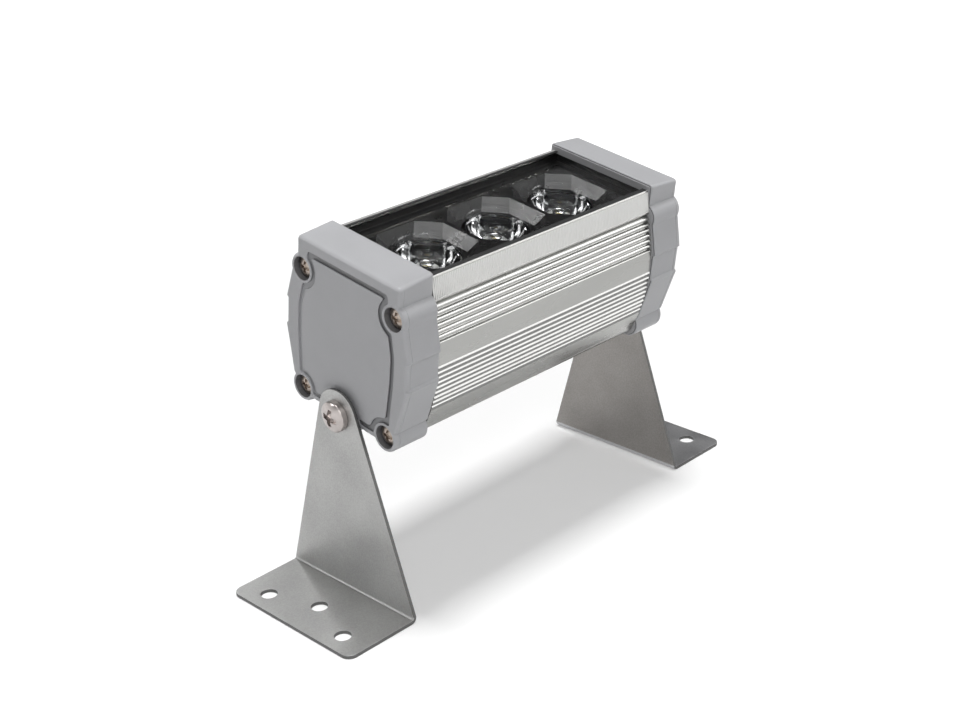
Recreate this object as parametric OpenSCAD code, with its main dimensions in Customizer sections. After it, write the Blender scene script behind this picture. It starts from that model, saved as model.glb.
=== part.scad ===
// Outdoor wall washer light: an extruded aluminium head with three lensed light sources, two cast end caps
// and two folded sheet brackets that the head tilts between.
// X runs along the head, -Y is the side the head leans to, +Z points away from the mounting plane.
// The origin is the middle of the four outer foot holes, on the underside of the feet.

/* [Head] */
// Room along the head between the last cell and the profile's end
end_w = 5.5; // [4:0.5:60]
// Distance from a cell's mouth to the widest part of the head's side
side_w = 15.6; // [15.2:0.2:21]
// Height of the room over the driver board
driver_room = 24.3; // [23:0.1:32]
// Thickness of each end cap along the head
cap_t = 16; // [15:0.5:24]
// Lean of the head towards -Y as stored, in degrees
head_tilt = 9; // [-60:1:60]

/* [End caps] */
// Step from the cap's widest part in to the block along its top
block_in = 6; // [5:0.2:6.4]
// Height of that block
block_h = 9.8; // [8:0.2:10]
// Fall of the cap's top from its inner to its outer edge
top_fall = 1.4; // [0:0.1:2]
// Margin by which the caps cover the housing profile
cap_margin = 1.3; // [0.8:0.1:2]
// Thickness of the cap's rim round its hollow
cap_rim = 3.6; // [3.2:0.1:4.4]
// Thickness of the cap's face
cap_face_t = 5.6; // [5:0.1:7]
// Radius of the rounded lobes round the cap screws
lobe_r = 5.9; // [5.6:0.1:6.4]
// Distance of the upper cap screws in from the cap's widest part
screw_top_in = 8.6; // [8.4:0.1:9.8]
// Depth of the upper cap screws below the caps' top edge
screw_top_drop = 14; // [13:0.1:14.2]
// Distance of the lower cap screws in from the cap's widest part
screw_low_in = 10.2; // [10:0.1:13.8]
// Height of the lower cap screws above the pivot axis
screw_low_z = 0.7; // [0.5:0.1:1.2]
// Radius of the counterbores round the cap screws
counterbore_r = 4.5; // [4.3:0.1:5]
// Depth of the counterbores
counterbore_d = 5.2; // [4:0.1:6]
// Radius of the boss round the pivot screw
pivot_boss_r = 8.6; // [7:0.1:9.4]
// Width of the groove round the face panel
groove_w = 2; // [1.4:0.1:2.2]
// Depth of that groove
groove_d = 1; // [0.4:0.1:1.6]
// Thickness of the cap gasket
gasket_t = 0.5; // [0.3:0.1:1.6]
// Step of the gasket back from the cap's edge
gasket_inset = 0.9; // [0.4:0.1:1.1]

/* [Housing profile] */
// Wall of the housing profile
wall = 2.4; // [2:0.1:3]
// How much narrower the profile is at its top ribs than at its widest
barrel_sag = 4; // [2.8:0.1:4.2]
// Pitch of the ribs
rib_pitch = 2.15; // [2:0.05:2.25]
// Depth of the grooves between the upper ribs
rib_d = 0.9; // [0.4:0.1:1.1]
// Depth of the grooves between the lower ribs
fine_rib_d = 0.6; // [0.3:0.1:0.9]
// Thickness of the web that carries the light sources
web_t = 3; // [2:0.1:4]
// Height of the lip round the glass below the caps' top edge
lip_drop = 2.6; // [1.6:0.1:3]
// Depth of the glass below the lip
glass_recess = 0.8; // [0.4:0.1:1.2]
// Width of the lip's top
lip_t = 2.4; // [2:0.1:2.6]

/* [Glass and optics] */
// Thickness of the front glass
glass_t = 3; // [2:0.5:4]
// Thickness of the seal under the glass
seal_t = 0.5; // [0.3:0.1:0.8]
// Distance between the mouths of two cells
cell_bar = 2; // [1.9:0.1:10]
// Diameter over a lens rim
lens_d = 24.4; // [22:0.2:25]
// Height of a lens
lens_h = 11.2; // [10:0.2:11.6]
// Width of a cell's floor outside the hole for the lens
cell_rim = 1.2; // [0.8:0.1:1.8]
// Widening of a cell from its foot to its mouth, on each side
cell_flare = 2.8; // [1.5:0.1:3.4]
// Cut of the corners of a cell
cell_corner = 7.6; // [6.6:0.1:8.4]
// Depth of a cell
cell_d = 4.8; // [4:0.1:5.2]

/* [Circuit boards] */
// Thickness of the circuit boards
board_t = 1.6; // [1:0.1:2]
// Thickness of the thermal pad
pad_t = 0.5; // [0.3:0.1:1]
// Width of the board that carries the light sources
led_board_w = 38; // [34:0.5:40]
// Width of a light source
led_w = 3.5; // [3:0.1:4]
// Height of the driver board above the pivot axis
driver_z = 9; // [8:0.5:14]

/* [Brackets] */
// Height of the pivot axis above the mounting plane
pivot_h = 75; // [74:1:140]
// Thickness of the bracket sheet
sheet_t = 1.5; // [1.2:0.1:2.4]
// Width of the foot
foot_w = 68; // [62:1:76]
// Length of the foot, from the upright's outer face
foot_len = 31.8; // [29:0.2:40]
// Radius of the bracket's rounded tip
tip_r = 10; // [9.6:0.1:12]
// Inner radius of the bend
bend_r = 1; // [0.5:0.1:2]
// Radius of the foot's corners
foot_corner_r = 4; // [1:0.5:6]
// Diameter of the foot holes
foot_hole_d = 6.4; // [5.2:0.1:7]
// Distance between the two outer foot holes
foot_hole_gap = 42.8; // [38:0.2:46]
// Distance of the outer foot holes from the foot's outer edge
foot_hole_edge = 8.2; // [7.4:0.1:9]
// Distance of the middle foot hole from the foot's outer edge
mid_hole_edge = 15.2; // [14:0.1:18]

/* [Screws and washers] */
// Diameter of the pivot screw's thread
pivot_d = 6; // [5:0.5:6]
// Diameter of the pivot screw's head
pivot_head_d = 12; // [11:0.1:13]
// Height of the pivot screw's head
pivot_head_h = 4.2; // [3.6:0.1:5]
// Length of the pivot screw's thread inside the cap
pivot_grip = 11; // [8:0.5:12]
// Diameter of the friction washer between bracket and cap
washer_d = 16; // [13:0.5:17]
// Thickness of the friction washer
washer_t = 1; // [0.6:0.1:1.5]
// Diameter of the cap screws' thread
cap_screw_d = 4; // [3.5:0.1:4]
// Diameter of the cap screws' head
cap_head_d = 8; // [7:0.1:8.2]
// Height of the cap screws' head
cap_head_h = 2.6; // [2:0.1:2.8]
// Length of the cap screws' thread inside the profile
cap_grip = 12; // [8:0.5:16]

/* [Cable gland] */
// Diameter of the gland's thread
gland_d = 12; // [10:0.5:12]
// Width across the flats of the gland
gland_flats = 15; // [14:0.5:16]
// Diameter of the hole for the cable
cable_d = 6.5; // [5:0.1:7]
// Height of the gland above the pivot axis
gland_z = 31; // [29:0.5:33]

/* [Hidden] */
$fn = 64;

// One overrun for every cut
over = 1;
// Play of a screw in its hole, all round
play = 0.05;
// Clearance of a screw in a hole that it passes through, all round
clearance = 0.2;
// Clearance between pieces that don't touch
gap = 0.3;

// Cells round the lenses
lens_play = 0.8;
cell_wall = 0.9;
cell_foot = lens_d / 2 + lens_play + cell_rim;
cell_mouth = cell_foot + cell_flare;
lens_pitch = 2 * cell_mouth + cell_bar;

// Places along the head
profile_x = lens_pitch + cell_mouth + end_w;
cap_in_x = profile_x + gasket_t;
cap_out_x = cap_in_x + cap_t;
sheet_in_x = cap_out_x + washer_t + play;
sheet_out_x = sheet_in_x + sheet_t;

// Heights above the pivot axis, from the driver board up
driver_top_z = driver_z + board_t;
web_low_z = driver_top_z + driver_room;
web_top_z = web_low_z + web_t;
board_top_z = web_top_z + pad_t + board_t;
lens_low_z = board_top_z + lens_play;
lens_top_z = lens_low_z + lens_h;
lens_rim_t = 1.2;
cell_foot_z = lens_top_z - gap;
bezel_top_z = cell_foot_z + cell_d;
bezel_plate_t = 1.5;
shelf_z = bezel_top_z - bezel_plate_t;
glass_low_z = bezel_top_z + gap;
ledge_z = glass_low_z - seal_t;
glass_top_z = glass_low_z + glass_t;
lip_z = glass_top_z + glass_recess;
head_h = lip_z + lip_drop;

// Width of the head and of what follows it
head_w = 2 * (cell_mouth + side_w);
block_w = head_w - 2 * block_in;
screw_top_y = head_w / 2 - screw_top_in;
screw_low_y = head_w / 2 - screw_low_in;
block_z = head_h - block_h;
screw_top_z = head_h - screw_top_drop;
cap_low_z = screw_low_z - 0.5 * lobe_r;
profile_low_z = cap_low_z + cap_margin;

// Outline of the barrel-sided profile
profile_half = head_w / 2 - cap_margin;
barrel_z_share = 0.43;
barrel_span_share = 0.37;
band_top_share = 0.8;
band_low_share = 0.851;
barrel_z = barrel_z_share * head_h;
barrel_span = barrel_span_share * head_h;
band_top_y = band_top_share * profile_half;
band_low_z = band_low_share * lip_z;
groove_h = 1.7;
groove_in = 1.4;
rib_top_z = band_low_z - groove_h;
upper_ribs = 6;
flat_band = 9.4;
low_band_z = 6.2;
lower_rib_z = rib_top_z - upper_ribs * rib_pitch - flat_band;
lower_ribs = floor((lower_rib_z - low_band_z) / rib_pitch);
lower_rib_end_z = lower_rib_z - lower_ribs * rib_pitch;
corner_z = 2.6;
corner_in = 1.4;

// Half width of the barrel at height z
function barrel(z) = profile_half - barrel_sag * pow((z - barrel_z) / barrel_span, 2);

// The four outline points of one rib and the groove under it, whose top is at height z
rib_land_share = 0.3;
rib_slope_share = 0.2;
function rib(z, depth) = [
    [barrel(z), z],
    [barrel(z), z - rib_land_share * rib_pitch],
    [barrel(z) - depth, z - (rib_land_share + rib_slope_share) * rib_pitch],
    [barrel(z) - depth, z - (1 - rib_slope_share) * rib_pitch]
];
function ribs(z, count, depth) = [for (i = [0:count - 1]) each rib(z - i * rib_pitch, depth)];

// A half outline, drawn from the top down at +y, closed by its mirror image
function both_sides(half) = concat(half, [for (i = [len(half) - 1:-1:0]) [-half[i][0], half[i][1]]]);

profile_half_outline = concat(
    [[band_top_y, lip_z], [barrel(band_low_z), band_low_z]],
    [[barrel(band_low_z) - groove_in, band_low_z - groove_h / 2], [barrel(rib_top_z), rib_top_z]],
    ribs(rib_top_z, upper_ribs, rib_d),
    [[barrel(rib_top_z - upper_ribs * rib_pitch), rib_top_z - upper_ribs * rib_pitch]],
    ribs(lower_rib_z, lower_ribs, fine_rib_d),
    [[barrel(lower_rib_end_z), lower_rib_end_z], [barrel(corner_z), corner_z]],
    [[barrel(corner_z) - corner_in, profile_low_z]]
);

// Extrudes a section drawn in (y, z) along X from x0 to x1
module along_x(x0, x1) {
    translate([x0, 0, 0]) rotate([90, 0, 90]) linear_extrude(x1 - x0) children();
}

// A round bar along X at (y, z)
module bar(x0, x1, r, y = 0, z = 0) {
    translate([x0, y, z]) rotate([0, 90, 0]) cylinder(r = r, h = x1 - x0);
}

// Puts what is drawn about the pivot axis at its leaning place over the mounting plane
module head_place() {
    translate([0, 0, pivot_h]) rotate([head_tilt, 0, 0]) children();
}

// Draws a child at each of the four cap screws' axes
module at_cap_screws() {
    for (side = [-1, 1]) {
        translate([0, side * screw_top_y, screw_top_z]) children();
        translate([0, side * screw_low_y, screw_low_z]) children();
    }
}

// Housing profile: one aluminium extrusion with an open top for the optics and a closed tunnel for the driver
channel_boss_r = 3.6;
inner_top_w = 2 * (band_top_y - lip_t);
glass_w = inner_top_w - 2 * gap;
ledge_w = 2.1;
shelf_w = 1.5;
shelf_depth = 2.2;
tunnel_floor = 1.6;
slot_lip = 1.2;
slot_reach = 1.6;
driver_w = 2 * (inner_wall(driver_z) - gap);
wire_hole_r = 2.4;
wire_inset = 7;
wire_x = profile_x - wire_inset;
board_screw_d = 3;
board_screw_x = lens_pitch / 2;
board_screw_y = 13;
board_screw_grip = 2.5;

function inner_wall(z) = barrel(z) - wall - rib_d;
tunnel_top_z = web_low_z;
tunnel_low_z = profile_low_z + tunnel_floor;
tunnel_half_outline = [
    [inner_wall(tunnel_top_z), tunnel_top_z],
    [inner_wall(barrel_z), barrel_z],
    [inner_wall(driver_z), driver_z],
    [inner_wall(corner_z) - corner_in, tunnel_low_z + wall],
    [inner_wall(corner_z) - corner_in - wall, tunnel_low_z]
];
optics_half_outline = [
    [inner_top_w / 2, lip_z + over],
    [inner_top_w / 2, ledge_z],
    [inner_top_w / 2 - ledge_w, ledge_z],
    [inner_top_w / 2 - ledge_w, shelf_z],
    [inner_top_w / 2 - ledge_w - shelf_w, shelf_z],
    [inner_top_w / 2 - ledge_w - shelf_w, shelf_z - shelf_depth],
    [inner_wall(screw_top_z), screw_top_z],
    [inner_wall(web_top_z), web_top_z]
];

module slot_lips() {
    reach_y = driver_w / 2 + gap - slot_reach;
    for (side = [0, 1], z = [driver_z - gap / 2 - slot_lip, driver_z + board_t + gap / 2])
        mirror([0, side, 0]) translate([-profile_x - over, reach_y, z])
            cube([2 * (profile_x + over), slot_reach + wall, slot_lip]);
}

module profile_hollow() {
    x0 = -profile_x - over;
    x1 = profile_x + over;
    difference() {
        union() {
            along_x(x0, x1) polygon(both_sides(optics_half_outline));
            along_x(x0, x1) polygon(both_sides(tunnel_half_outline));
        }
        at_cap_screws() bar(x0 - over, x1 + over, channel_boss_r);
        slot_lips();
    }
}

module housing_profile() {
    color([0.75, 0.75, 0.74])
    head_place() difference() {
        union() {
            along_x(-profile_x, profile_x) polygon(both_sides(profile_half_outline));
            for (side = [-1, 1]) bar(-profile_x, profile_x, channel_boss_r, side * screw_low_y, screw_low_z);
        }
        profile_hollow();
        at_cap_screws() bar(-profile_x - over, profile_x + over, cap_screw_d / 2 + play);
        translate([wire_x, 0, web_low_z - over]) cylinder(r = wire_hole_r, h = web_t + 2 * over);
        for (x = [-board_screw_x, board_screw_x], y = [-board_screw_y, board_screw_y])
            translate([x, y, web_low_z - over]) cylinder(d = board_screw_d + 2 * play, h = web_t + 2 * over);
    }
}

// End caps: aluminium castings, hollow towards the profile, with a groove round the face panel
lobe_share = 0.7;
side_top_share = 1.04;
side_low_share = 0.95;
cap_side_half = head_w / 2;
crease_step = 0.8;
upper_crease_share = 0.54;
lower_crease_share = 0.372;
cap_half_outline = [
    [block_w / 2, head_h],
    [block_w / 2, block_z],
    [screw_top_y + lobe_share * lobe_r, screw_top_z + lobe_share * lobe_r],
    [screw_top_y + side_top_share * lobe_r, screw_top_z - lobe_share * lobe_r],
    [cap_side_half, upper_crease_share * head_h + crease_step],
    [cap_side_half - crease_step, upper_crease_share * head_h],
    [cap_side_half - crease_step, lower_crease_share * head_h + crease_step],
    [cap_side_half, lower_crease_share * head_h],
    [screw_low_y + side_low_share * lobe_r, screw_low_z + lobe_share * lobe_r],
    [screw_low_y, cap_low_z]
];

// A half outline moved in by inset
function moved_in(half, inset) = [
    for (p = half) [p[0] - inset, max(min(p[1], head_h - inset), cap_low_z + inset)]
];

module cap_block(x0, x1, inset = 0) {
    along_x(x0, x1) polygon(both_sides(moved_in(cap_half_outline, inset)));
    at_cap_screws() bar(x0, x1, lobe_r - inset);
    bar(x0, x1, pivot_boss_r - inset);
}

module cap_hollow(x0, x1) {
    difference() {
        along_x(x0, x1) polygon(both_sides(moved_in(cap_half_outline, cap_rim)));
        at_cap_screws() bar(x0 - over, x1 + over, channel_boss_r + gap);
        bar(x0 - over, x1 + over, pivot_boss_r);
    }
}

// Outline of the face panel, grown by grow
panel_top = 7.8;
panel_side = 9;
panel_corner = 1.6;
panel_low = 4;
notch_r = 7.6;
notch_top_share = 0.68;
module panel_section(grow = 0) {
    half = [
        [screw_top_y - notch_top_share * notch_r + grow, head_h - panel_top + grow],
        [cap_side_half - panel_side - panel_corner + grow, screw_top_z - notch_r],
        [cap_side_half - panel_side + grow, upper_crease_share * head_h],
        [cap_side_half - panel_side + grow, lower_crease_share * head_h],
        [screw_low_y + grow, screw_low_z + notch_r],
        [screw_low_y + grow, cap_low_z + panel_low - grow]
    ];
    difference() {
        polygon(both_sides(half));
        for (side = [-1, 1]) {
            translate([side * screw_top_y, screw_top_z]) circle(r = notch_r - grow);
            translate([side * screw_low_y, screw_low_z]) circle(r = notch_r - grow);
        }
    }
}

module end_cap() {
    top_slope = atan(top_fall / cap_t);
    difference() {
        cap_block(-cap_out_x, -cap_in_x);
        cap_hollow(-cap_out_x + cap_face_t, -cap_in_x + over);
        along_x(-cap_out_x - over, -cap_out_x + groove_d) difference() {
            panel_section(groove_w);
            panel_section();
            circle(r = washer_d / 2 + washer_t);
        }
        translate([-cap_in_x, 0, head_h]) rotate([0, -top_slope, 0])
            translate([-2 * cap_t, -head_w, 0]) cube([2 * cap_t, 2 * head_w, cap_t]);
        at_cap_screws() bar(-cap_out_x - over, -cap_in_x + over, cap_screw_d / 2 + clearance);
        at_cap_screws() bar(-cap_out_x - over, -cap_out_x + counterbore_d, counterbore_r);
        bar(-cap_out_x - over, -cap_out_x + pivot_grip + over, pivot_d / 2 + play);
    }
}

module left_end_cap() {
    color([0.6, 0.6, 0.62])
    head_place() end_cap();
}

module right_end_cap() {
    color([0.62, 0.63, 0.65])
    head_place() difference() {
        mirror([1, 0, 0]) end_cap();
        bar(cap_out_x - cap_face_t - over, cap_out_x + over, gland_d / 2 + play, 0, gland_z);
    }
}

// Cap gaskets: black rubber sheet between each cap and the profile's end
module cap_gasket() {
    difference() {
        cap_block(-cap_in_x, -profile_x, gasket_inset);
        cap_hollow(-cap_in_x - over, -profile_x + over);
        at_cap_screws() bar(-cap_in_x - over, -profile_x + over, cap_screw_d / 2 + clearance);
    }
}

module left_cap_gasket() {
    color([0.06, 0.06, 0.06])
    head_place() cap_gasket();
}

module right_cap_gasket() {
    color([0.06, 0.06, 0.06])
    head_place() mirror([1, 0, 0]) cap_gasket();
}

// A pan head screw along +X: its head's underside at x = 0 and its thread along +X
cross_share = 0.56;
cross_w_share = 0.16;
cross_d_share = 0.45;
side_share = 0.55;
module pan_screw(thread_d, grip, head_d, head_h) {
    dome = head_h * (1 - side_share);
    dome_r = (pow(head_d / 2, 2) + pow(dome, 2)) / (2 * dome);
    difference() {
        intersection() {
            bar(-head_h, 0, head_d / 2);
            translate([dome_r - head_h, 0, 0]) sphere(r = dome_r);
        }
        for (turn = [0, 90]) rotate([turn, 0, 0])
            translate([-head_h - over, -cross_share * head_d / 2, -cross_w_share * head_d / 2])
                cube([over + cross_d_share * head_h, cross_share * head_d, cross_w_share * head_d]);
    }
    bar(0, grip, thread_d / 2);
}

module cap_screws() {
    seat_x = -cap_out_x + counterbore_d;
    grip = cap_t - counterbore_d + gasket_t + cap_grip;
    at_cap_screws() translate([seat_x, 0, 0]) pan_screw(cap_screw_d, grip, cap_head_d, cap_head_h);
}

module left_cap_screws() {
    color([0.66, 0.62, 0.58])
    head_place() cap_screws();
}

module right_cap_screws() {
    color([0.66, 0.62, 0.58])
    head_place() mirror([1, 0, 0]) cap_screws();
}

// Front glass: clear pane let into the top of the profile
module front_glass() {
    color([0.8, 0.85, 0.88, 0.35])
    head_place() translate([-profile_x, -glass_w / 2, glass_low_z]) cube([2 * profile_x, glass_w, glass_t]);
}

// Glass seal: silicone strip on the ledge, along both sides of the pane
module glass_seal() {
    color([0.05, 0.05, 0.05])
    head_place() for (side = [-1, 1])
        translate([-profile_x, side > 0 ? glass_w / 2 - ledge_w + gap : -glass_w / 2, ledge_z])
            cube([2 * profile_x, ledge_w - gap, seal_t]);
}

// Lens bezel: black moulded plate with one flared, eight-sided cell round each lens
module eight_sided(half, corner, z) {
    slice = gap / 10;
    translate([0, 0, z]) linear_extrude(slice) polygon([
        [half, half - corner], [half - corner, half], [corner - half, half], [-half, half - corner],
        [-half, corner - half], [corner - half, -half], [half - corner, -half], [half, corner - half]
    ]);
}

// One cell's funnel, grown by grow on its sides and under its foot
module cell(grow = 0) {
    hull() {
        eight_sided(cell_mouth + grow, cell_corner, bezel_top_z + (grow > 0 ? -bezel_plate_t : 0));
        eight_sided(cell_foot + grow, cell_corner, cell_foot_z - grow);
    }
}

bezel_w = inner_top_w - 2 * ledge_w - 2 * gap;
bezel_end = 3;
module lens_bezel() {
    lens_hole_r = lens_d / 2 + lens_play;
    color([0.06, 0.06, 0.065])
    head_place() difference() {
        union() {
            translate([-profile_x + bezel_end, -bezel_w / 2, shelf_z])
                cube([2 * (profile_x - bezel_end), bezel_w, bezel_plate_t]);
            for (i = [-1:1]) translate([i * lens_pitch, 0, 0]) cell(cell_wall);
        }
        for (i = [-1:1]) translate([i * lens_pitch, 0, 0]) cell();
        for (i = [-1:1]) translate([i * lens_pitch, 0, cell_foot_z - cell_wall - over])
            cylinder(r = lens_hole_r, h = cell_wall + 2 * over);
    }
}

// Lenses: clear moulded cones with a flat rim on top and a pocket over the light source
lens_foot_r = 0.36 * lens_d / 2;
lens_body_r = 0.9 * lens_d / 2;
module lens(i) {
    rim_r = lens_d / 2;
    pocket_r = 0.21 * rim_r;
    steps = 8;
    body_h = lens_h - lens_rim_t;
    flare = lens_body_r - lens_foot_r;
    side = [for (s = [0:steps]) [lens_foot_r + flare * sqrt(s / steps), body_h * s / steps]];
    color([0.86, 0.88, 0.9, 0.5])
    head_place() translate([(i - 2) * lens_pitch, 0, lens_low_z]) difference() {
        rotate_extrude() polygon(concat([[0, 0]], side, [[rim_r, body_h], [rim_r, lens_h], [0, lens_h]]));
        translate([0, 0, -over]) cylinder(r = pocket_r, h = 0.4 * lens_h + over);
    }
}

// Lens holders: black cups that stand on the board and carry the lens rims
holder_floor = 0.5;
module lens_holder(i) {
    color([0.08, 0.08, 0.085])
    head_place() translate([(i - 2) * lens_pitch, 0, board_top_z]) difference() {
        cylinder(d = lens_d, h = lens_top_z - lens_rim_t - board_top_z);
        translate([0, 0, holder_floor]) cylinder(r = lens_body_r + gap, h = lens_h);
        translate([0, 0, -over]) cylinder(r = lens_foot_r + gap, h = 2 * over + holder_floor);
    }
}

// Light sources: square ceramic packages with a domed window
led_base_t = 0.7;
module led(i) {
    color([0.95, 0.86, 0.45])
    head_place() translate([(i - 2) * lens_pitch, 0, board_top_z]) {
        translate([-led_w / 2, -led_w / 2, 0]) cube([led_w, led_w, led_base_t]);
        intersection() {
            translate([0, 0, led_base_t]) sphere(d = 0.86 * led_w);
            translate([-led_w, -led_w, led_base_t / 2]) cube(2 * led_w);
        }
    }
}

// Board under the light sources, its pad and its screws
board_end = 2;
module board_plate(t, holes) {
    difference() {
        translate([-profile_x + board_end, -led_board_w / 2, 0])
            cube([2 * (profile_x - board_end), led_board_w, t]);
        for (x = [-board_screw_x, board_screw_x], y = [-board_screw_y, board_screw_y])
            translate([x, y, -over]) cylinder(r = board_screw_d / 2 + clearance, h = t + 2 * over);
        translate([wire_x, 0, -over]) cylinder(r = wire_hole_r, h = t + 2 * over);
    }
}

module led_board() {
    color([0.9, 0.9, 0.88])
    head_place() translate([0, 0, board_top_z - board_t]) board_plate(board_t);
}

module thermal_pad() {
    color([0.55, 0.6, 0.66])
    head_place() translate([0, 0, web_top_z]) board_plate(pad_t);
}

module board_screws() {
    head_r = 0.9 * board_screw_d;
    head_t = 0.6 * board_screw_d;
    shank = board_t + pad_t + board_screw_grip;
    color([0.7, 0.68, 0.64])
    head_place() for (x = [-board_screw_x, board_screw_x], y = [-board_screw_y, board_screw_y])
        translate([x, y, board_top_z]) rotate([0, 90, 0]) pan_screw(board_screw_d, shank, 2 * head_r, head_t);
}

// Driver board, held in the two slots of the tunnel, and its parts
driver_end = 3;
module driver_board() {
    color([0.1, 0.35, 0.18])
    head_place() translate([-profile_x + driver_end, -driver_w / 2, driver_z])
        cube([2 * (profile_x - driver_end), driver_w, board_t]);
}

coil_d = 18;
coil_h = 12;
module driver_coil() {
    color([0.2, 0.2, 0.22])
    head_place() translate([-lens_pitch, 0, driver_top_z]) {
        cylinder(d = coil_d, h = coil_h / 6);
        cylinder(d = 0.8 * coil_d, h = coil_h);
        translate([0, 0, coil_h - coil_h / 6]) cylinder(d = coil_d, h = coil_h / 6);
    }
}

capacitor_d = 10;
capacitor_h = 16;
module driver_capacitors() {
    color([0.12, 0.14, 0.3])
    head_place() for (side = [-1, 1])
        translate([0, side * capacitor_d, driver_top_z]) cylinder(d = capacitor_d, h = capacitor_h);
}

chip_w = 5;
chip_t = 1.6;
module driver_chip() {
    color([0.1, 0.1, 0.1])
    head_place() translate([-chip_w * 3, capacitor_d, driver_top_z]) cube([chip_w, chip_w, chip_t]);
}

terminal_w = 15;
terminal_depth = 8;
terminal_h = 10;
terminal_entry = 2;
module terminal_block() {
    poles = 3;
    pitch = terminal_w / poles;
    color([0.15, 0.45, 0.3])
    head_place() translate([wire_x - 3 * terminal_depth, -terminal_w / 2, driver_top_z]) difference() {
        cube([terminal_depth, terminal_w, terminal_h]);
        for (i = [0:poles - 1]) {
            translate([terminal_depth - terminal_entry, (i + 0.5) * pitch, terminal_h / 3])
                rotate([0, 90, 0]) cylinder(d = 0.6 * pitch, h = terminal_entry + over);
            translate([terminal_depth / 2, (i + 0.5) * pitch, terminal_h - terminal_entry / 2])
                cylinder(d = 0.6 * pitch, h = terminal_entry / 2 + over);
        }
    }
}

// Leads from the driver board up through the web to the board above
lead_d = 1.4;
lead_y = 1.2;
lead_tail = 5;
module led_leads() {
    rise = board_top_z - driver_top_z + lead_d / 2;
    color([0.75, 0.1, 0.1])
    head_place() for (side = [0, 1]) mirror([0, side, 0]) translate([wire_x, lead_y, driver_top_z]) {
        cylinder(d = lead_d, h = rise);
        translate([0, 0, rise]) sphere(d = lead_d);
        translate([0, 0, rise]) rotate([-90, 0, 0]) cylinder(d = lead_d, h = lead_tail);
    }
}

// Brackets: one folded stainless sheet each, a tapered upright with a round tip and a foot with three holes
module bracket_upright() {
    bend_top = sheet_t + bend_r - pivot_h;
    half = foot_w / 2;
    corner_angle = atan2(bend_top, half);
    reach = norm([half, bend_top]);
    touch_angle = corner_angle + acos(tip_r / reach);
    touch = [tip_r * cos(touch_angle), tip_r * sin(touch_angle)];
    difference() {
        union() {
            circle(r = tip_r);
            polygon([[0, 0], touch, [half, bend_top], [-half, bend_top], [-touch[0], touch[1]]]);
        }
        circle(d = pivot_d + 2 * play);
    }
}

module bracket_foot() {
    x0 = -sheet_out_x - foot_len;
    x1 = -sheet_out_x - bend_r;
    linear_extrude(sheet_t) difference() {
        union() {
            translate([x0 + foot_corner_r, -foot_w / 2]) square([x1 - x0 - foot_corner_r, foot_w]);
            translate([x0, foot_corner_r - foot_w / 2]) square([2 * foot_corner_r, foot_w - 2 * foot_corner_r]);
            for (side = [-1, 1]) translate([x0 + foot_corner_r, side * (foot_w / 2 - foot_corner_r)])
                circle(r = foot_corner_r);
        }
        for (side = [-1, 1]) translate([x0 + foot_hole_edge, side * foot_hole_gap / 2]) circle(d = foot_hole_d);
        translate([x0 + mid_hole_edge, 0]) circle(d = foot_hole_d);
    }
}

module bracket_bend() {
    outer_r = bend_r + sheet_t;
    translate([-sheet_out_x - bend_r, foot_w / 2, outer_r]) rotate([90, 0, 0]) intersection() {
        difference() {
            cylinder(r = outer_r, h = foot_w);
            translate([0, 0, -over]) cylinder(r = bend_r, h = foot_w + 2 * over);
        }
        translate([0, -outer_r, 0]) cube([outer_r, outer_r, foot_w]);
    }
}

module bracket() {
    translate([0, 0, pivot_h]) along_x(-sheet_out_x, -sheet_in_x) bracket_upright();
    bracket_bend();
    bracket_foot();
}

module left_bracket() {
    color([0.66, 0.67, 0.67])
    bracket();
}

module right_bracket() {
    color([0.55, 0.54, 0.52])
    mirror([1, 0, 0]) bracket();
}

// Pivot screws and the friction washers between each bracket and its cap
module pivot_screw() {
    grip = sheet_t + 2 * play + washer_t + pivot_grip;
    translate([-sheet_out_x - play, 0, 0]) pan_screw(pivot_d, grip, pivot_head_d, pivot_head_h);
}

module left_pivot_screw() {
    color([0.72, 0.68, 0.65])
    head_place() pivot_screw();
}

module right_pivot_screw() {
    color([0.72, 0.68, 0.65])
    head_place() mirror([1, 0, 0]) pivot_screw();
}

module pivot_washer() {
    difference() {
        bar(-cap_out_x - washer_t, -cap_out_x, washer_d / 2);
        bar(-cap_out_x - washer_t - over, -cap_out_x + over, pivot_d / 2 + play);
    }
}

module left_pivot_washer() {
    color([0.12, 0.12, 0.12])
    head_place() pivot_washer();
}

module right_pivot_washer() {
    color([0.12, 0.12, 0.12])
    head_place() mirror([1, 0, 0]) pivot_washer();
}

// Cable gland on the right cap: body screwed into the cap, rubber seal inside, dome nut outside
gland_flange = 5;
gland_neck = 7;
gland_nut_h = 10;
gland_neck_r = 0.46 * gland_flats;
gland_lip = 1.6;
gland_wall = 1.4;
seal_r = gland_neck_r - gland_wall;
module gland_place() {
    head_place() translate([cap_out_x, 0, gland_z]) rotate([0, 90, 0]) children();
}

module hexagon(flats, h) {
    cylinder(d = flats / cos(30), h = h, $fn = 6);
}

module gland_body() {
    color([0.2, 0.2, 0.21])
    gland_place() difference() {
        union() {
            translate([0, 0, -cap_face_t]) cylinder(d = gland_d, h = cap_face_t);
            hexagon(gland_flats, gland_flange);
            cylinder(r = gland_neck_r - gap, h = gland_flange + gland_neck);
        }
        translate([0, 0, -cap_face_t - over]) cylinder(r = cable_d / 2 + gap, h = cap_face_t + gland_flange + 2 * over);
        translate([0, 0, gland_flange]) cylinder(r = seal_r, h = gland_neck + over);
    }
}

module gland_seal() {
    color([0.07, 0.07, 0.07])
    gland_place() translate([0, 0, gland_flange]) difference() {
        cylinder(r = seal_r - play, h = gland_neck);
        translate([0, 0, -over]) cylinder(d = cable_d, h = gland_neck + 2 * over);
    }
}

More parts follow.
